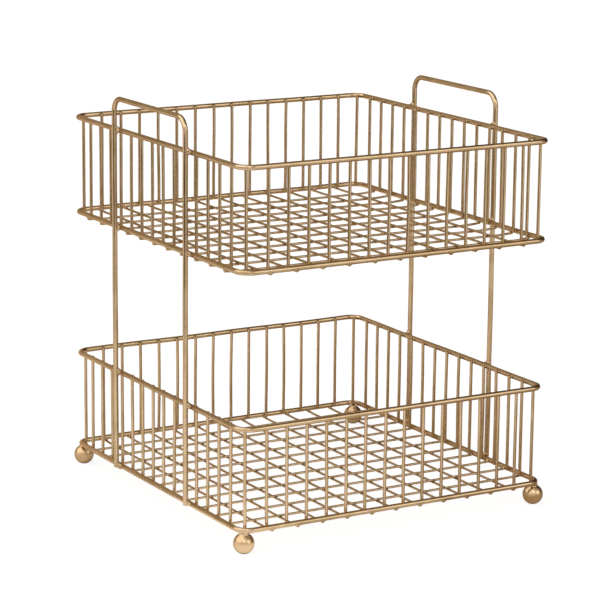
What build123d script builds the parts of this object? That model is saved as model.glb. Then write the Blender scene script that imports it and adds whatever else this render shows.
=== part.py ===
# Tiered wire basket: two welded wire baskets, one above the other, carried by
# two end frames whose tops are the handles, on four ball feet.
# Millimetres. The origin is on the resting surface, under the middle of the basket.
# +X runs to the right along the front, +Y runs to the back and +Z runs up.

import os
from math import sqrt

from build123d import *

os.makedirs("parts", exist_ok=True)

# Baskets: both have the same rings and side wires
basket_width = 300.0  # over the rings, left to right
basket_depth = 311.8  # over the rings, front to back
basket_height = 89.1  # underside of the base ring to the top of the rim
ring_rod = 4.5
corner_radius = 11.5  # centreline of the rings' corners
tier_rise = 213.7  # from the lower base ring to the upper one

# Side wires, upright on the inner side of both rings
side_wire = 2.8
side_spaces = 15  # along each side, from corner wire to corner wire
side_wire_rise = 0.8  # above the rim's centreline
side_wire_drop = 0.5  # below the base ring's centreline
side_wire_round = 0.7

# Floor wires, in two crossing layers. In the upper basket both are under the base ring. In the lower
# one the upper layer ends inside the side rings, right under the side wires.
floor_wire = 2.1
floor_wires_each_way = 11
floor_wire_reach = 1.2  # past the centreline of a ring that they pass under
floor_wire_round = 0.3
upper_depth_wire_margin = 24.7  # side ring's centreline to the first front-to-back wire
lower_depth_wire_margin = 28.2
width_wire_margin = 28.6  # front ring's centreline to the first left-to-right wire

# End frames: one rod each, bent into an upside-down U
frame_rod = 4.5
leg_spacing = 129.8  # centreline to centreline
handle_rise = 28.2  # upper rim's centreline to the handle's
handle_bend_radius = 12.0
leg_end_round = 0.8
leg_drop = 1.2  # below the lower base ring's centreline

# Ball feet
ball_diameter = 17.6
ball_flat = 0.5  # cut off the underside
neck_diameter = 6.0
neck_height = 0.2  # top of the ball to the underside of the ring
foot_inset = 1.5  # from under the ring's corner, towards the middle

# Pieces that are welded together stand this far apart, where the weld lies
weld_gap = 0.05

# Heights that follow
ball_centre = ball_diameter / 2 - ball_flat
lower_base = ball_centre + ball_diameter / 2 + neck_height + ring_rod / 2
upper_base = lower_base + tier_rise
rim_above_base = basket_height - ring_rod
handle_height = upper_base + rim_above_base + handle_rise

# Centrelines of the rings
half_width = (basket_width - ring_rod) / 2
half_depth = (basket_depth - ring_rod) / 2

# Side wires stand this far inside the rings' centreline
side_wire_inset = ring_rod / 2 + weld_gap + side_wire / 2


def reach_at(place, half_along, half_out, inset):
    """Distance from the middle to the rounded outline, drawn in by inset, beside a place on its side."""
    past_straight = abs(place) - (half_along - corner_radius)
    if past_straight <= 0:
        return half_out - inset
    return half_out - corner_radius + sqrt((corner_radius - inset) ** 2 - past_straight**2)


def corner_place(half_length, inset):
    """Coordinate of the middle of a corner's arc, drawn in by inset."""
    return half_length - corner_radius + (corner_radius - inset) / sqrt(2)


def bent_rod(path, diameter):
    """A round rod along a path."""
    section = Plane(origin=path @ 0, z_dir=path % 0) * Circle(diameter / 2)
    return sweep(section, path=path)


def straight_wire(diameter, length, end_round):
    """A round wire along Z, centred, with softened ends."""
    wire = Cylinder(diameter / 2, length)
    return fillet(wire.edges().filter_by(GeomType.CIRCLE), end_round)


def ring(height):
    """A closed rod with rounded corners, as both the rim and the base ring are."""
    outline = RectangleRounded(2 * half_width, 2 * half_depth, corner_radius).face().outer_wire()
    return bent_rod(Pos(0, 0, height) * outline, ring_rod)


def side_places(half_length):
    """Places of the side wires between two corner wires."""
    end = corner_place(half_length, side_wire_inset)
    pitch = 2 * end / side_spaces
    return [-end + i * pitch for i in range(1, side_spaces)]


def side_wires(base):
    """The upright wires of one basket, by the side they stand on."""
    bottom = base - side_wire_drop
    top = base + rim_above_base + side_wire_rise
    upright = Pos(0, 0, (bottom + top) / 2) * straight_wire(side_wire, top - bottom, side_wire_round)
    groups = {}
    for side, sign in (("front", -1), ("back", 1)):
        groups[side] = [
            Pos(x, sign * reach_at(x, half_width, half_depth, side_wire_inset), 0) * upright
            for x in side_places(half_width)
        ]
    for side, sign in (("left", -1), ("right", 1)):
        groups[side] = [
            Pos(sign * reach_at(y, half_depth, half_width, side_wire_inset), y, 0) * upright
            for y in side_places(half_depth)
        ]
    corner_x = corner_place(half_width, side_wire_inset)
    corner_y = corner_place(half_depth, side_wire_inset)
    corners = [(x, y) for x in (-corner_x, corner_x) for y in (-corner_y, corner_y)]
    groups["corner"] = [Pos(x, y, 0) * upright for x, y in corners]
    return groups


def floor_layer(half_along, half_out, margin, height, reach, turn):
    """One layer of parallel floor wires at a height, turned about Z to the way it runs."""
    end = half_along - margin
    pitch = 2 * end / (floor_wires_each_way - 1)
    wires = []
    for i in range(floor_wires_each_way):
        place = -end + i * pitch
        length = 2 * (reach_at(place, half_along, half_out, 0) + reach)
        lying = Rot(90, 0, 0) * straight_wire(floor_wire, length, floor_wire_round)
        wires.append(Rot(0, 0, turn) * Pos(place, 0, height) * lying)
    return wires


def lower_floor(base):
    """Left-to-right wires between the side rings, and front-to-back wires below them."""
    width_height = base - side_wire_drop - weld_gap - floor_wire / 2
    depth_height = width_height - floor_wire - weld_gap
    width_reach = -ring_rod / 2 - weld_gap
    width_wires = floor_layer(
        half_depth, half_width, width_wire_margin, width_height, width_reach, 90
    )
    depth_wires = floor_layer(
        half_width, half_depth, lower_depth_wire_margin, depth_height, floor_wire_reach, 0
    )
    return depth_wires, width_wires


def upper_floor(base):
    """Front-to-back wires against the ring's underside, and left-to-right wires below them."""
    depth_height = base - ring_rod / 2 - weld_gap - floor_wire / 2
    width_height = depth_height - floor_wire - weld_gap
    depth_wires = floor_layer(
        half_width, half_depth, upper_depth_wire_margin, depth_height, floor_wire_reach, 0
    )
    width_wires = floor_layer(
        half_depth, half_width, width_wire_margin, width_height, floor_wire_reach, 90
    )
    return depth_wires, width_wires


def basket(tier, base, floor):
    """Every node of one basket."""
    depth_wires, width_wires = floor(base)
    nodes = {
        f"{tier}_rim": [ring(base + rim_above_base)],
        f"{tier}_base_ring": [ring(base)],
        f"{tier}_floor_depth_wires": depth_wires,
        f"{tier}_floor_width_wires": width_wires,
    }
    for side, wires in side_wires(base).items():
        nodes[f"{tier}_{side}_wires"] = wires
    return nodes


def end_frame(side):
    """A leg, the handle bar and the other leg, outside the rings."""
    x = side * (basket_width / 2 + weld_gap + frame_rod / 2)
    y = leg_spacing / 2
    foot = lower_base - leg_drop
    corners = [(x, -y, foot), (x, -y, handle_height), (x, y, handle_height), (x, y, foot)]
    frame = bent_rod(FilletPolyline(*corners, radius=handle_bend_radius), frame_rod)
    return fillet(frame.edges().group_by(Axis.Z)[0], leg_end_round)


def foot(side_x, side_y):
    """A ball with a flat underside and a short neck up to the base ring's corner."""
    ring_underside = lower_base - ring_rod / 2
    neck_top = ring_underside - weld_gap
    neck = Pos(0, 0, (ball_centre + neck_top) / 2) * Cylinder(neck_diameter / 2, neck_top - ball_centre)
    below = Pos(0, 0, -ball_diameter / 2) * Box(ball_diameter, ball_diameter, ball_diameter)
    ball = Pos(0, 0, ball_centre) * Sphere(ball_diameter / 2)
    inset = foot_inset / sqrt(2)
    x = side_x * (corner_place(half_width, 0) - inset)
    y = side_y * (corner_place(half_depth, 0) - inset)
    return Pos(x, y, 0) * (ball + neck - below)


nodes = {
    **basket("lower", lower_base, lower_floor),
    **basket("upper", upper_base, upper_floor),
    "left_handle_frame": [end_frame(-1)],
    "right_handle_frame": [end_frame(1)],
    "foot_front_left": [foot(-1, -1)],
    "foot_front_right": [foot(1, -1)],
    "foot_back_left": [foot(-1, 1)],
    "foot_back_right": [foot(1, 1)],
}

for name, pieces in nodes.items():
    solids = [solid for piece in pieces for solid in piece.solids()]
    export_step(Compound(label=name, children=solids), f"parts/{name}.step")
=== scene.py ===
# Tiered wire basket: two welded wire baskets, one above the other, between two end frames
# whose tops are the handles, on four ball feet. All lengths are in metres.
import math
import random

import bpy
import numpy as np
from mathutils import Matrix, Vector, kdtree


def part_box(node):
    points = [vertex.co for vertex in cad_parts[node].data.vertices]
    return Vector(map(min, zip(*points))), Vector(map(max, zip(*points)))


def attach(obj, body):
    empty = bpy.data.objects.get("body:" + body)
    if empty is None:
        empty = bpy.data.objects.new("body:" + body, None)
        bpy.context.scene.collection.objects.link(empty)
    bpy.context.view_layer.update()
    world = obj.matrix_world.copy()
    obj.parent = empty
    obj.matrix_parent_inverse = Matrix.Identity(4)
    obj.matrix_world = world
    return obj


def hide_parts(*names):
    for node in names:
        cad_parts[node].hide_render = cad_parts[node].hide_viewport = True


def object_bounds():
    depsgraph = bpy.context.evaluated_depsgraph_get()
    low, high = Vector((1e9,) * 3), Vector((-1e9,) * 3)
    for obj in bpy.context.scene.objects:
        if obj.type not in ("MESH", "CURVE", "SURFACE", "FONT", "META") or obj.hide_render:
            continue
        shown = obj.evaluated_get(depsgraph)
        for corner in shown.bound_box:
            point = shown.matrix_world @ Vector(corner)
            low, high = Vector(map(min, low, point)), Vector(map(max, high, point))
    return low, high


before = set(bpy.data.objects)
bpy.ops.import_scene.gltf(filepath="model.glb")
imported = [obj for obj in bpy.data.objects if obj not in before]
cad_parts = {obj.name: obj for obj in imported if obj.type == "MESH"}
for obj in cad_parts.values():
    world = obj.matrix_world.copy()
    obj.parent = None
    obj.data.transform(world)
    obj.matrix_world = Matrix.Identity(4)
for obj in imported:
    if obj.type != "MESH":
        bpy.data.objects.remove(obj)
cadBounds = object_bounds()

mm = 0.001
chance = random.Random(29)
right, back, up = np.eye(3)  # of the basket, seen from its front
print("frame loaded:", len(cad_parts), "nodes")


# Meshes

settling = dict(  # how far the rods are from dead straight
    amount=0.25 * mm,
    waves=(0.093, 0.127, 0.171),
    phases=(1.1, 4.2, 0.8, 0.5, 2.6),
)


def settle(points):
    # a slow bend through the whole basket that fades to nothing at its outer faces
    low, high = (np.array(corner) for corner in cadBounds)
    middle = (low + high) / 2
    room = 1 - ((points - middle) / ((high - low) / 2)) ** 2
    first, second, third = (2 * math.pi * points / wave for wave in settling["waves"])
    phases = settling["phases"]
    drift = np.stack([
        np.sin(first[:, 2] + third[:, 1] + phases[0]) * np.cos(second[:, 0]),
        np.sin(first[:, 2] + third[:, 0] + phases[1]) * np.cos(second[:, 1] + phases[2]),
        np.sin(second[:, 0] + phases[3]) * np.sin(third[:, 1] + phases[4]),
    ], axis=1)
    return points + settling["amount"] * drift * np.clip(room, 0, 1)


class Skin:  # gathers closed shells into the mesh of one piece
    def __init__(self):
        self.points, self.grains, self.burns, self.faces = [], [], [], []
        self.total = 0

    def addShell(self, rings, grains, closed=False, burn=0.0):
        # rings is rows of points round the shell; grains is each one's place in the straightened rod
        rows, columns = rings.shape[:2]
        here = self.total + np.arange(rows * columns).reshape(rows, columns)
        beside = np.roll(here, -1, axis=1)
        ahead, aheadBeside = np.roll(here, -1, axis=0), np.roll(beside, -1, axis=0)
        quads = np.stack([here, beside, aheadBeside, ahead], axis=2)
        self.faces += quads[:rows if closed else rows - 1].reshape(-1, 4).tolist()
        if not closed:
            self.faces += [here[0][::-1].tolist(), here[-1].tolist()]
        self.points.append(rings.reshape(-1, 3))
        self.grains.append(grains.reshape(-1, 3))
        self.burns.append(np.full(rows * columns, burn))
        self.total += rows * columns

    def makePiece(self, name, slot, finish, nodes):
        points = settle(np.concatenate(self.points))
        mesh = bpy.data.meshes.new(name)
        mesh.from_pydata(points.tolist(), [], self.faces)
        grain = mesh.attributes.new("grain", "FLOAT_VECTOR", "POINT")
        grain.data.foreach_set("vector", np.concatenate(self.grains).ravel())
        # the second attribute darkens welds and floor wires: weld burn together with painted shade
        for label, values in (("weldHeat", weldHeat(points)), ("burn", np.concatenate(self.burns))):
            mesh.attributes.new(label, "FLOAT", "POINT").data.foreach_set("value", values)
        mesh.shade_smooth()
        mesh.materials.append(finish)
        made = bpy.data.objects.new(name, mesh)
        bpy.context.collection.objects.link(made)
        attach(made, "root")
        if nodes:
            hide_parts(*nodes)


def unit(vector):
    return vector / np.linalg.norm(vector, axis=-1, keepdims=True)


def straight(start, end, rows):
    # places along a straight rod, closer together near its ends
    share = (1 - np.cos(np.linspace(0, math.pi, rows))) / 2
    return start + share[:, None] * (end - start)


# rows over a rounded end, and how far off the next row is, in radii of the end
rodEnds = dict(rows=4, clear=1.5)


def tube(skin, path, square, radius, sides, endRound=0.0, closed=False, seam=None, burn=0.0):
    # a round rod along a path; square is a direction square to the path's plane
    path = np.array(path)
    if closed:
        tangent = unit(np.roll(path, -1, axis=0) - np.roll(path, 1, axis=0))
    else:
        tangent = unit(np.gradient(path, axis=0))
    along = np.concatenate([[0], np.cumsum(np.linalg.norm(np.diff(path, axis=0), axis=1))])
    girth = np.full(len(path), radius)
    if not closed:  # rounded ends, from the rim of the flat inwards
        turns = np.linspace(0, math.pi / 2, rodEnds["rows"])
        inward = endRound * (1 - np.cos(turns))
        clear = rodEnds["clear"] * endRound
        body = (along > clear) & (along < along[-1] - clear)
        places = np.concatenate([inward, along[body], (along[-1] - inward)[::-1]])
        curve = radius - endRound + endRound * np.sin(turns)
        girth = np.concatenate([curve, girth[body], curve[::-1]])
        path, tangent = (np.stack([np.interp(places, along, axis) for axis in values.T], axis=1)
                         for values in (path, tangent))
        tangent, along = unit(tangent), places
    if seam:  # a butt weld, by its place, height and width
        place, height, width = seam
        girth = girth + height * np.exp(-(((along - place) / width) ** 2))
    first = unit(square - (tangent @ square)[:, None] * tangent)
    second = np.cross(tangent, first)
    angles = np.linspace(0, 2 * math.pi, sides, endpoint=False)
    cosines, sines = np.cos(angles), np.sin(angles)
    around = cosines[None, :, None] * first[:, None] + sines[None, :, None] * second[:, None]
    rings = path[:, None] + girth[:, None, None] * around
    shift = np.array([chance.uniform(-1, 1) for _ in range(3)])  # so that no two rods are grained alike
    grains = np.empty_like(rings)
    grains[..., 0] = girth[:, None] * cosines
    grains[..., 1] = girth[:, None] * sines
    grains[..., 2] = along[:, None]
    skin.addShell(rings, grains + shift, closed, burn)


# Welds: each bead is the skin of the rods that meet there, with their edges flowing together

def rodField(start, end, radius, endRound):
    # how far points are outside a straight rod with softened ends
    middle, half = (start + end) / 2, np.linalg.norm(end - start) / 2
    axis = unit(end - start)

    def field(points):
        along = (points - middle) @ axis
        out = np.linalg.norm(points - middle - along[..., None] * axis, axis=-1) - (radius - endRound)
        past = np.abs(along) - (half - endRound)
        corner = np.hypot(np.maximum(out, 0), np.maximum(past, 0))
        return np.minimum(np.maximum(out, past), 0) + corner - endRound
    return field


def ringField(ring):
    # how far points are outside a ring with rounded corners
    corner = ring["corner"]
    inner = np.array([ring["halfWidth"], ring["halfDepth"]]) - corner

    def field(points):
        away = np.abs(points[..., :2]) - inner
        beyond = np.linalg.norm(np.maximum(away, 0), axis=-1)
        flat = beyond + np.minimum(away.max(axis=-1), 0) - corner
        return np.hypot(flat, points[..., 2] - ring["height"]) - ring["radius"]
    return field


def blobField(middle, size):
    # a lump of weld metal, size being its half-lengths
    def field(points):
        return (np.linalg.norm((points - middle) / size, axis=-1) - 1) * np.min(size)
    return field


def merged(fields, points, blend):
    # the fields' union, with a fillet that reaches blend from the line where they meet
    total = fields[0](points)
    for field in fields[1:]:
        other = field(points)
        share = np.maximum(blend - np.abs(total - other), 0) / blend
        total = np.minimum(total, other) - share**2 * blend / 4
    return total


weldPlaces = []
weldSizes = dict(
    sink=0.022 * mm,  # the bead's rim dips under the rods by this
    heat=3.2 * mm,  # from the joint, where its heat has changed the plating
    vary=(0.85, 1.2),  # how the fillet differs from bead to bead
    # blend is the fillet, reach the furthest metal and the last how dark the darkest beads are painted:
    # weld burn together with painted shade in the crevices where the rods meet
    wires=dict(blend=1.3 * mm, reach=3.4 * mm, rows=12, columns=20, burn=0.35),
    ends=dict(blend=2.0 * mm, reach=4.6 * mm, rows=14, columns=22, burn=0.2),
    crossings=dict(blend=1.1 * mm, reach=2.3 * mm, rows=10, columns=16, burn=0.9),
    legs=dict(blend=1.7 * mm, reach=4.6 * mm, rows=14, columns=24, burn=0.2),
    necks=dict(blend=1.3 * mm, reach=6.5 * mm, rows=20, columns=32, burn=0.0),
)
beadRays = dict(
    steepest=80,  # degrees from level to the last row
    even=0.4,  # 1 spaces the rows evenly, less crowds them to the middle
    steps=18,
    halvings=6,
)


def bead(skin, middle, pole, fields, kind):
    # walks out from the middle of the joint in every direction to where the metal ends
    size, sink, even = weldSizes[kind], weldSizes["sink"], beadRays["even"]
    blend = size["blend"] * chance.uniform(*weldSizes["vary"])
    aside = right if abs(pole[0]) < 0.7 else up  # whichever is well off the pole
    side = unit(np.cross(pole, aside))
    row = np.linspace(-1, 1, size["rows"])
    rise = np.radians(row * even + row**3 * (1 - even)) * beadRays["steepest"]
    turn = np.linspace(0, 2 * math.pi, size["columns"], endpoint=False)
    level = np.cos(turn)[:, None] * side + np.sin(turn)[:, None] * np.cross(pole, side)
    ways = np.cos(rise)[:, None, None] * level + np.sin(rise)[:, None, None] * pole
    steps = np.linspace(0, 1, beadRays["steps"])
    trial = middle + ways[..., None, :] * (steps * size["reach"])[:, None]
    outside = merged(fields, trial, blend) + sink > 0
    outside[..., 0], outside[..., -1] = False, True
    gone = outside.argmax(axis=-1)
    near, far = steps[gone - 1], steps[gone]
    for _ in range(beadRays["halvings"]):
        half = (near + far) / 2
        past = merged(fields, middle + ways * (half * size["reach"])[..., None], blend) + sink > 0
        near, far = np.where(past, near, half), np.where(past, half, far)
    rings = middle + ways * ((near + far) / 2 * size["reach"])[..., None]
    # each bead is painted darker by a random share of its kind's darkest: weld burn and painted shade in
    # the crevice between the rods
    skin.addShell(rings, rings, burn=size["burn"] * math.sqrt(chance.random()))
    weldPlaces.append(middle)


def weldHeat(points):
    # 1 at a weld, falling to 0 a few millimetres away
    tree = kdtree.KDTree(len(weldPlaces))
    for index, place in enumerate(weldPlaces):
        tree.insert(place, index)
    tree.balance()
    away = np.array([tree.find(point)[2] for point in points.tolist()])
    return np.exp(-((away / weldSizes["heat"]) ** 2))


# Finish

class Signal:  # one socket, with Python's operators as its maths
    def __init__(self, finish, socket):
        self.finish, self.socket = finish, socket

    def maths(self, operation, first, second):
        return self.finish.node("ShaderNodeMath", dict(operation=operation), {0: first, 1: second})

    def __add__(self, other):
        return self.maths("ADD", self, other)

    def __sub__(self, other):
        return self.maths("SUBTRACT", self, other)

    def __rsub__(self, other):
        return self.maths("SUBTRACT", other, self)

    def __mul__(self, other):
        return self.maths("MULTIPLY", self, other)

    __radd__ = __add__
    __rmul__ = __mul__


class Finish:  # the nodes of a material, or of the world
    def __init__(self, block):
        self.block = block
        block.use_nodes = True
        self.tree = block.node_tree
        self.tree.nodes.clear()

    def node(self, kind, settings=None, sockets=None, output=0):
        made = self.tree.nodes.new(kind)
        for key, value in (settings or {}).items():
            setattr(made, key, value)
        for key, value in (sockets or {}).items():
            if isinstance(value, Signal):
                self.tree.links.new(value.socket, made.inputs[key])
            else:
                made.inputs[key].default_value = value
        return Signal(self, made.outputs[output]) if made.outputs else None

    def attribute(self, name, output):
        return self.node("ShaderNodeAttribute", dict(attribute_name=name), output=output)

    def noise(self, vector, scale, detail=2.0):
        return self.node("ShaderNodeTexNoise", None, {"Vector": vector, "Scale": scale, "Detail": detail})

    def ramp(self, value, low, high):
        sockets = {"Value": value, "From Min": low, "From Max": high}
        return self.node("ShaderNodeMapRange", dict(interpolation_type="SMOOTHSTEP"), sockets)

    def blend(self, share, first, second):
        # a Mix node on colours: its sockets 0, 6 and 7 are the factor and the two colours
        settings = dict(data_type="RGBA")
        return self.node("ShaderNodeMix", settings, {0: share, 6: first, 7: second}, output=2)


goldLook = dict(
    pale=(0.478, 0.362, 0.222, 1),
    deep=(0.392, 0.284, 0.158, 1),
    rose=(0.480, 0.332, 0.224, 1),
    weld=(0.380, 0.254, 0.126, 1),
    # the colour of the darkest welds: weld burn together with painted shade in the crevices
    burntAndShaded=(0.055, 0.030, 0.012, 1),
    edge=(0.86, 0.68, 0.50, 1),  # tint of what is reflected at a slant
    # the next five are per metre
    patches=42.0,  # slow change of tone along the rods
    blush=71.4,  # rosier places
    mottle=620.0,  # fine unevenness of the plating
    drawLines=2600.0,  # lines left from drawing the rod
    coarseRods=6.0,  # which rods, or lengths of them, are plated more coarsely
    # from where to where in its noise each of them comes in
    patchEdges=(0.35, 0.65),
    blushEdges=(0.45, 0.7),
    coarseEdges=(0.58, 0.64),
    patchMottle=0.25,  # how much the mottle frays the patches
    drawStretch=0.03,  # across to along, so that the lines run along the rod
    blushShare=0.7,
    weldShare=0.75,
    roughness=0.20,
    rougher=dict(mottle=0.12, lines=0.08, heat=0.08, burn=0.2),  # what each adds to it
    bumpDepth=0.009 * mm,
    uneven=dict(lines=0.3, mottle=0.2, heat=1.5, coarse=0.9),  # what each adds to the relief
    coat=0.1,
    coatRoughness=0.22,
)
ballLook = goldLook | dict(  # the balls are plated lighter and more evenly
    pale=(0.54, 0.390, 0.230, 1),
    deep=(0.48, 0.330, 0.185, 1),
    rose=(0.52, 0.355, 0.205, 1),
    edge=(0.45, 0.40, 0.34, 1),
    roughness=0.27,
    mottle=300.0,
    drawLines=1400.0,
)


def goldPlating(name, look):
    finish = Finish(bpy.data.materials.new(name))
    place = finish.node("ShaderNodeTexCoord", output="Object")
    grain = finish.attribute("grain", "Vector")
    heat = finish.attribute("weldHeat", "Fac")
    burn = finish.attribute("burn", "Fac")
    stretch = {0: grain, 1: (1, 1, look["drawStretch"])}
    stretched = finish.node("ShaderNodeVectorMath", dict(operation="MULTIPLY"), stretch)
    patches = finish.noise(place, look["patches"])
    blush = finish.noise(grain, look["blush"], 1.0)
    mottle = finish.noise(grain, look["mottle"], 3.0)
    coarse = finish.ramp(finish.noise(grain, look["coarseRods"], 0.0), *look["coarseEdges"])
    lines = finish.noise(stretched, look["drawLines"])

    tone = finish.ramp(patches + look["patchMottle"] * (mottle - 0.5), *look["patchEdges"])
    colour = finish.blend(tone, look["deep"], look["pale"])
    rosy = look["blushShare"] * finish.ramp(blush, *look["blushEdges"])
    colour = finish.blend(rosy, colour, look["rose"])
    colour = finish.blend(look["weldShare"] * heat, colour, look["weld"])
    # darker welds and floor wires: weld burn together with painted shade in the crevices and on the floor
    # wires
    colour = finish.blend(burn, colour, look["burntAndShaded"])

    rougher, uneven = look["rougher"], look["uneven"]
    roughness = look["roughness"] + rougher["mottle"] * (mottle - 0.5) + rougher["lines"] * (lines - 0.5)
    roughness = roughness + rougher["heat"] * heat + rougher["burn"] * burn
    grit = uneven["mottle"] + uneven["heat"] * heat + uneven["coarse"] * coarse
    height = uneven["lines"] * lines + mottle * grit
    normal = finish.node("ShaderNodeBump", None, {"Distance": look["bumpDepth"], "Height": height})
    shader = finish.node("ShaderNodeBsdfPrincipled", None, {
        "Base Color": colour, "Metallic": 1.0, "Roughness": roughness, "Normal": normal,
        "Specular Tint": look["edge"],
        "Coat Weight": look["coat"], "Coat Roughness": look["coatRoughness"],
    })
    finish.node("ShaderNodeOutputMaterial", None, {"Surface": shader})
    return finish.block


wireGold = goldPlating("wireGold", goldLook)
ballGold = goldPlating("ballGold", ballLook)
print("finishes made")


# Rings: the rim and the base ring of each basket, butt-welded at the back

ringShape = dict(
    cornerRadius=11.5 * mm,
    straightStep=4.0 * mm,
    arcRows=18,
    sides=28,
    seamPlace=22 * mm,  # from the middle of the back
    seamDepth=0.1 * mm,  # the butt weld is ground a little too deep
    seamWidth=0.7 * mm,
    seamReach=3,  # in widths to each side, where the rows are close
    seamRows=15,
)


def ringOf(node):
    low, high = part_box(node)
    radius = (high.z - low.z) / 2
    return dict(halfWidth=high.x - radius, halfDepth=high.y - radius, height=high.z - radius,
                radius=radius, corner=ringShape["cornerRadius"])


def ringPath(ring):
    # starts beside the butt weld, with close rows over it, and runs round anticlockwise
    corner, reach = ring["corner"], ringShape["seamReach"]
    x, y = ring["halfWidth"] - corner, ring["halfDepth"] - corner
    arc = np.linspace(0, math.pi / 2, ringShape["arcRows"])
    start = np.array([ringShape["seamPlace"], ring["halfDepth"]])
    close = ringShape["seamWidth"] * np.linspace(-reach, reach, ringShape["seamRows"])[:, None] * (-1, 0)
    path, here = list(start + close), start + close[-1]
    for quarter, (centreX, centreY) in enumerate(((-x, y), (-x, -y), (x, -y), (x, y))):
        angles = math.pi / 2 + quarter * math.pi / 2 + arc
        bend = np.array([centreX, centreY]) + corner * np.stack([np.cos(angles), np.sin(angles)], axis=1)
        rows = round(np.linalg.norm(bend[0] - here) / ringShape["straightStep"])
        path += list(np.linspace(here, bend[0], rows, endpoint=False)[1:]) + list(bend)
        here = bend[-1]
    rows = round(np.linalg.norm(start - here) / ringShape["straightStep"])
    path += list(np.linspace(here, start + close[0], rows, endpoint=False)[1:])
    flat = np.array(path)
    return np.column_stack([flat, np.full(len(flat), ring["height"])])


rings = {}
skins = {}


def newSkin(name, nodes=(), slot="gold_wire", finish=wireGold):
    skins[name] = (Skin(), slot, finish, nodes)
    return skins[name][0]


seam = (ringShape["seamReach"] * ringShape["seamWidth"], -ringShape["seamDepth"], ringShape["seamWidth"])
for tier in ("lower", "upper"):
    for part in ("rim", "base_ring"):
        node = f"{tier}_{part}"
        ring = ringOf(node)
        rings[node] = ring
        skin = newSkin(f"{node}_rod", (node,))
        tube(skin, ringPath(ring), up, ring["radius"], ringShape["sides"], closed=True, seam=seam)


# Side wires: upright on the inner side of both rings of their basket

sideWires = dict(
    count=14,
    rows=15,
    sides=20,
    endRound=0.7 * mm,
    stray=0.35 * mm,  # how far a wire's end is from its even place
)


def spread(low, high, radius, count):
    # even places between the outer faces of the first and last wire
    return np.linspace(low + radius, high - radius, count)


def sideWire(skin, welds, tier, foot, heights, outward, radius):
    # one upright wire that strays a little along its wall; outward points at the rings
    low, high = heights
    wall = np.cross(up, outward)
    stray, endRound = sideWires["stray"], sideWires["endRound"]
    start = np.append(foot, low) + wall * chance.uniform(-stray, stray)
    end = np.append(foot, high) + wall * chance.uniform(-stray, stray)
    path = straight(start, end, sideWires["rows"])
    tube(skin, path, outward, radius, sideWires["sides"], endRound)
    wire = rodField(start, end, radius, endRound)
    for node in (f"{tier}_base_ring", f"{tier}_rim"):
        ring = rings[node]
        share = (ring["height"] - low) / (high - low)
        middle = start + share * (end - start) + outward * radius
        bead(welds, middle, outward, [ringField(ring), wire], "wires")


for tier in ("lower", "upper"):
    welds = newSkin(f"{tier}_side_wire_welds")
    for side, outward in (("front", -back), ("back", back), ("left", -right), ("right", right)):
        node = f"{tier}_{side}_wires"
        low, high = (np.array(corner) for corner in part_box(node))
        thin = 1 if side in ("front", "back") else 0  # the axis across the wall
        radius = (high[thin] - low[thin]) / 2
        heights = low[2], high[2]
        skin = newSkin(f"{node}_rods", (node,))
        for place in spread(low[1 - thin], high[1 - thin], radius, sideWires["count"]):
            foot = np.array([place, low[1] + radius]) if thin else np.array([low[0] + radius, place])
            sideWire(skin, welds, tier, foot, heights, outward, radius)
    node = f"{tier}_corner_wires"  # as thick and as tall as the others
    low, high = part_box(node)
    skin = newSkin(f"{node}_rods", (node,))
    for x, sideX in ((low.x + radius, -1), (high.x - radius, 1)):
        for y, sideY in ((low.y + radius, -1), (high.y - radius, 1)):
            outward = unit(np.array([sideX, sideY, 0.0]))
            sideWire(skin, welds, tier, np.array([x, y]), heights, outward, radius)
print("rings and side wires laid out:", len(weldPlaces), "welds")


# Floor wires: two crossing layers, under the base ring but for one that ends inside the lower one

floorWires = dict(
    count=11,
    rows=97,
    sides=16,
    endRound=0.3 * mm,
    stray=0.3 * mm,
    # how much the floor wires are darkened all along: painted shade on the floor inside the basket
    burn=dict(lower=0.03, upper=0.08),
    # how far the welds have pressed each layer up into the next one and into the ring:
    # along the wires, and at their ends
    pressed=dict(
        upper_floor_depth_wires=(0.7 * mm, 0.95 * mm),
        upper_floor_width_wires=(1.3 * mm, 2.3 * mm),
        lower_floor_depth_wires=(0.6 * mm, 1.2 * mm),
        lower_floor_width_wires=(0, 0),
    ),
    endLength=14 * mm,
)


def floorLayer(node, axis):
    # the wires of one layer as (start, end), and their radius
    low, high = (np.array(corner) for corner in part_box(node))
    radius = (high[2] - low[2]) / 2
    height = low[2] + radius + floorWires["pressed"][node][0]
    wires = []
    for place in spread(low[1 - axis], high[1 - axis], radius, floorWires["count"]):
        ends = []
        for reach in (low[axis], high[axis]):
            end = np.full(3, height)
            end[axis] = reach
            end[1 - axis] = place + chance.uniform(-1, 1) * floorWires["stray"]
            ends.append(end)
        wires.append(ends)
    return wires, radius


def floorWire(skin, welds, ring, axis, start, end, radius, lift, burn):
    # one floor wire, with its ends lifted and welded to the ring
    reach = end[axis] - (ring["halfWidth"] if axis == 0 else ring["halfDepth"])
    path = straight(start, end, floorWires["rows"])
    toEnd = np.minimum(path[:, axis] - start[axis], end[axis] - path[:, axis])
    path[:, 2] += lift * np.clip(1 - toEnd / floorWires["endLength"], 0, 1)
    tube(skin, path, up, radius, floorWires["sides"], floorWires["endRound"], burn=burn)
    for near, far in ((start, end), (end, start)):
        inward = unit(far - near)
        tip = near + lift * up
        wire = rodField(tip, near + inward * floorWires["endLength"], radius, floorWires["endRound"])
        middle = tip + inward * max(reach, 0)
        if reach > 0:
            middle[2] = (ring["height"] - ring["radius"] + tip[2] + radius) / 2
        bead(welds, middle, up, [ringField(ring), wire], "ends")


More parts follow.
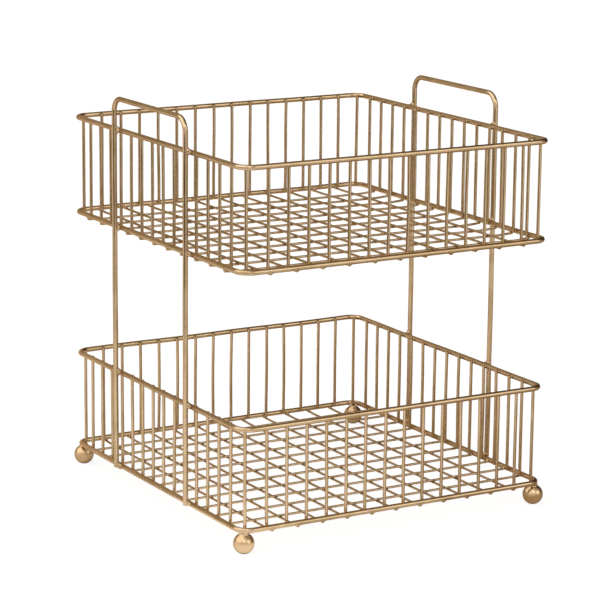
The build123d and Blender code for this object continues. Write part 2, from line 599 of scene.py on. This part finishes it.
for tier in ("lower", "upper"):
    welds = newSkin(f"{tier}_floor_end_welds")
    ring, burn = rings[f"{tier}_base_ring"], floorWires["burn"][tier]
    layers = {}
    for part, axis in (("floor_depth_wires", 1), ("floor_width_wires", 0)):
        node = f"{tier}_{part}"
        wires, radius = floorLayer(node, axis)
        layers[axis] = wires
        skin = newSkin(f"{node}_rods", (node,))
        along, atEnds = floorWires["pressed"][node]
        for start, end in wires:
            floorWire(skin, welds, ring, axis, start, end, radius, atEnds - along, burn)
    crossings = newSkin(f"{tier}_floor_crossing_welds")
    for depthStart, depthEnd in layers[1]:
        for widthStart, widthEnd in layers[0]:
            # the slight lean of either wire hardly moves where they cross
            x = np.interp(widthStart[1], (depthStart[1], depthEnd[1]), (depthStart[0], depthEnd[0]))
            y = np.interp(x, (widthStart[0], widthEnd[0]), (widthStart[1], widthEnd[1]))
            middle = np.array([x, y, (depthStart[2] + widthStart[2]) / 2])
            fields = [rodField(start, end, radius, floorWires["endRound"])
                      for start, end in ((depthStart, depthEnd), (widthStart, widthEnd))]
            bead(crossings, middle, up, fields, "crossings")
print("floors laid out:", len(weldPlaces), "welds")


# End frames: one rod each, two legs and the handle bar between them

endFrames = dict(
    bendRadius=12.0 * mm,
    bendRows=18,
    step=4.0 * mm,
    sides=28,
    endRound=1.7 * mm,  # the ends of the legs have run a little with the weld
    # spots of weld metal at each ring: one each side of the leg, high or low, and one on top of the ring
    spotSize=np.array([0.9, 1.5, 1.2]) * mm,  # half-lengths
    spotVary=(0.85, 1.15),
    spotHeight=(0.8, 1.4),  # in mm, as are the next two
    spotAside=(1.7, 2.2),
    spotOnTop=(1.8, 2.3),
)


def framePath(x, y, foot, top):
    # up the front leg, along the handle bar and down the back leg
    bend = endFrames["bendRadius"]
    turn = np.linspace(0, math.pi / 2, endFrames["bendRows"])
    front = np.stack([-(y - bend) - bend * np.cos(turn), top - bend + bend * np.sin(turn)], axis=1)
    rear = front[::-1] * (-1, 1)
    legRows = round((top - bend - foot) / endFrames["step"])
    barRows = round(2 * (y - bend) / endFrames["step"])
    leg = np.linspace((-y, foot), front[0], legRows, endpoint=False)
    bar = np.linspace(front[-1], rear[0], barRows, endpoint=False)[1:]
    path = np.concatenate([leg, front, bar, rear, (leg * (-1, 1))[::-1]])
    return np.column_stack([np.full(len(path), x), path])


def legWeld(welds, leg, ring, middle, outward):
    # the bead of one leg on one ring, with its spots of weld metal
    fields = [ringField(ring), leg]
    size = endFrames["spotSize"]
    for beside in (-1, 1):
        rise = chance.choice((-1, 1)) * chance.uniform(*endFrames["spotHeight"]) * mm
        aside = beside * chance.uniform(*endFrames["spotAside"]) * mm
        spot = middle + aside * back + rise * up
        fields.append(blobField(spot, size * chance.uniform(*endFrames["spotVary"])))
    aside = chance.uniform(-1, 1) * mm
    spot = middle + aside * back + chance.uniform(*endFrames["spotOnTop"]) * mm * up
    fields.append(blobField(spot, size))
    bead(welds, middle, outward, fields, "legs")


welds = newSkin("end_frame_welds")
for side, outward in (("left", -right), ("right", right)):
    node = f"{side}_handle_frame"
    low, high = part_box(node)
    radius = (high.x - low.x) / 2
    x, legY, top = low.x + radius, high.y - radius, high.z - radius
    skin = newSkin(f"{node}_rod", (node,))
    tube(skin, framePath(x, legY, low.z, top), right, radius, endFrames["sides"], endFrames["endRound"])
    for y in (-legY, legY):
        foot, bend = np.array([x, y, low.z]), np.array([x, y, top - endFrames["bendRadius"]])
        leg = rodField(foot, bend, radius, endFrames["endRound"])
        for ring in rings.values():
            middle = np.array([x, y, ring["height"]]) - outward * radius
            legWeld(welds, leg, ring, middle, outward)


# Ball feet: a ball with a flat underside and a short neck, welded under the ring's corner

ballFeet = dict(
    flat=0.5 * mm,  # cut off the underside
    flatEdge=0.4 * mm,
    edgeRow=(0.6, 0.06 * mm),  # one row inside that edge: its share of the way out, and its height
    flatRow=0.4,  # one row inside the flat, by its share of the way out
    neckRadius=3.0 * mm,
    neckRound=0.2 * mm,
    rows=34,
    sides=56,
    weldLump=np.array([3.5, 3.5, 1.2]) * mm,  # half-lengths
    weldDrop=0.3 * mm,  # from the neck's top to the weld's middle
)


def footProfile(radius, centre, top):
    # out from the middle of the flat, up the ball and up the neck, as (distance, height)
    neck, flatEdge = ballFeet["neckRadius"], ballFeet["flatEdge"]
    start = math.asin(-centre / radius) + flatEdge / radius
    stop = math.acos(neck / radius)
    lift = np.linspace(start, stop, ballFeet["rows"])
    ball = np.stack([radius * np.cos(lift), centre + radius * np.sin(lift)], axis=1)
    inner = math.sqrt(radius**2 - centre**2) - flatEdge
    share, rise = ballFeet["edgeRow"]
    flat = [(ballFeet["flatRow"] * inner, 0), (inner, 0), (inner + share * flatEdge, rise)]
    return np.array([*flat, *ball, (neck, top)])


welds = newSkin("foot_welds")
for depthSide in ("front", "back"):
    for side in ("left", "right"):
        node = f"foot_{depthSide}_{side}"
        low, high = (np.array(corner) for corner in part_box(node))
        radius = (high[0] - low[0]) / 2
        centre, top = radius - ballFeet["flat"], high[2]
        skin = newSkin(f"{node}_ball", (node,), "gold_ball", ballGold)
        angles = np.linspace(0, 2 * math.pi, ballFeet["sides"], endpoint=False)
        profile = footProfile(radius, centre, top)
        axis = (low + high) / 2 * (1, 1, 0)
        shape = np.empty((len(profile), len(angles), 3))
        shape[..., 0] = axis[0] + profile[:, :1] * np.cos(angles)
        shape[..., 1] = axis[1] + profile[:, :1] * np.sin(angles)
        shape[..., 2] = profile[:, 1:]
        skin.addShell(shape, shape)
        fields = [
            ringField(rings["lower_base_ring"]),
            rodField(axis + centre * up, axis + top * up, ballFeet["neckRadius"], ballFeet["neckRound"]),
            blobField(axis + centre * up, np.full(3, radius)),
            blobField(axis + top * up, ballFeet["weldLump"]),
        ]
        bead(welds, axis + (top - ballFeet["weldDrop"]) * up, up, fields, "necks")
print("frames and feet laid out:", len(weldPlaces), "welds")

for name, (skin, slot, finish, nodes) in skins.items():
    skin.makePiece(name, slot, finish, nodes)
print("pieces made:", len(skins))


# Floor, camera and light

photoCamera = dict(
    lens=155.48,
    sensor=36,
    distance=2.26318,
    turn=30.44,
    tilt=12.66,
    roll=0.54,
    aim=(-5.72, -1.56, 167.03),  # in mm: the point of the basket in the middle of the picture
)


def towards(turn, lift):
    # from the basket, turned clockwise from its front as seen from above, and lifted; in degrees
    turn, lift = math.radians(turn), math.radians(lift)
    return Vector((-math.sin(turn) * math.cos(lift), -math.cos(turn) * math.cos(lift), math.sin(lift)))


camera = bpy.data.objects.new("camera", bpy.data.cameras.new("camera"))
bpy.context.collection.objects.link(camera)
camera.data.lens, camera.data.sensor_width = photoCamera["lens"], photoCamera["sensor"]
away = towards(photoCamera["turn"], photoCamera["tilt"])
roll = Matrix.Rotation(math.radians(photoCamera["roll"]), 3, "Z").to_quaternion()
camera.location = Vector(photoCamera["aim"]) * mm + away * photoCamera["distance"]
camera.rotation_mode = "QUATERNION"
camera.rotation_quaternion = away.to_track_quat("Z", "Y") @ roll
bpy.context.scene.camera = camera

floorLook = dict(
    size=60.0,
    colour=(0.94, 0.94, 0.94, 1),
    roughness=0.9,
    shine=0.1,
    tooth=900.0,  # per metre
    toothDepth=0.05 * mm,
    toothStrength=0.1,
    glow=1.06,
    glowShare=0.8,
)
bpy.ops.mesh.primitive_plane_add(size=floorLook["size"], location=(0, 0, 0))
floor = bpy.context.object
floor.name = "floor"
paper = Finish(bpy.data.materials.new("paper"))
paperTooth = paper.node("ShaderNodeBump", None, {
    "Strength": floorLook["toothStrength"], "Distance": floorLook["toothDepth"],
    "Height": paper.noise(paper.node("ShaderNodeTexCoord", output="Object"), floorLook["tooth"], 3.0)})
paperShader = paper.node("ShaderNodeBsdfPrincipled", None, {
    "Base Color": floorLook["colour"], "Roughness": floorLook["roughness"],
    "Specular IOR Level": floorLook["shine"], "Normal": paperTooth})
paperGlow = paper.node("ShaderNodeEmission", None, {"Strength": floorLook["glow"]})
cameraRay = paper.node("ShaderNodeLightPath")  # its first output is 1 for the camera's own rays
paperSurface = paper.node("ShaderNodeMixShader", None, {
    0: floorLook["glowShare"] * cameraRay, 1: paperShader, 2: paperGlow})
paper.node("ShaderNodeOutputMaterial", None, {"Surface": paperSurface})
floor.data.materials.append(paper.block)

# far off, so all the floor is lit alike
softLights = dict(  # turn, lift and width in degrees, and strength
    wall=(68, 24, 140, 1.85),
    key=(105, 49, 78, 1.2),
    front=(25, 40, 16, 0.26),
    fill=(-32, 24, 40, 0.62),
    rear=(172, 30, 60, 0.07),
)
for name, (turn, lift, width, strength) in softLights.items():
    light = bpy.data.lights.new(name, "SUN")
    light.angle, light.energy = math.radians(width), strength
    lamp = bpy.data.objects.new(name, light)
    lamp.rotation_mode = "QUATERNION"
    lamp.rotation_quaternion = towards(turn, lift).to_track_quat("Z", "Y")
    bpy.context.collection.objects.link(lamp)

# cards that stand or lie on the floor round the basket, show only in reflections and light nothing: each
# glows with its colour, a painted reflection of dark flags, of the floor's shadow at the right, of a
# bright light panel and of a white board
cards = dict(  # turn, distance and height of the middle, lean in degrees, width, length and colour
    lyingDark=(65, 2.05, 0.002, 89.99, 2.4, 1.8, (0.030, 0.018, 0.008, 1)),
    lyingTan=(-80, 0.62, 0.002, 89.99, 1.1, 0.7, (0.60, 0.48, 0.36, 1)),
    lyingBright=(60, 0.56, 0.002, 89.99, 0.8, 0.54, (1.48, 1.44, 1.42, 1)),
    tallDark=(-105, 1.2, 1.15, 0, 1.5, 2.3, (0.10, 0.085, 0.07, 1)),
    white=(168, 0.61, 0.15, 0, 0.55, 0.30, (0.85, 0.72, 0.6, 1)),
)
for name, (turn, distance, height, lean, width, length, colour) in cards.items():
    bpy.ops.mesh.primitive_plane_add(size=1)
    card = bpy.context.object
    card.name = f"{name}Card"
    card.scale = (width, length, 1)
    card.location = towards(turn, 0) * distance + Vector((0, 0, height))
    card.rotation_mode = "QUATERNION"
    card.rotation_quaternion = towards(turn + 180, lean).to_track_quat("Z", "Y")
    card.visible_camera = card.visible_diffuse = card.visible_shadow = False
    reflectionCard = Finish(bpy.data.materials.new(f"{name}PaintedReflection"))
    # the card glows with its colour, a painted reflection, and lights nothing
    reflectionGlow = reflectionCard.node("ShaderNodeEmission", None, {"Color": colour})
    reflectionCard.node("ShaderNodeOutputMaterial", None, {"Surface": reflectionGlow})
    card.data.materials.append(reflectionCard.block)

roomLook = dict(backdrop=(1, 1, 1, 1), walls=(0.43, 0.370, 0.285, 1))  # what is seen, and what lights
room = Finish(bpy.data.worlds.new("room"))
cameraRay = room.node("ShaderNodeLightPath")
roomColour = room.blend(cameraRay, roomLook["walls"], roomLook["backdrop"])
roomShader = room.node("ShaderNodeBackground", None, {"Color": roomColour})
room.node("ShaderNodeOutputWorld", None, {"Surface": roomShader})
bpy.context.scene.world = room.block
bpy.context.scene.view_settings.view_transform = "Standard"
print("floor, camera and light set")
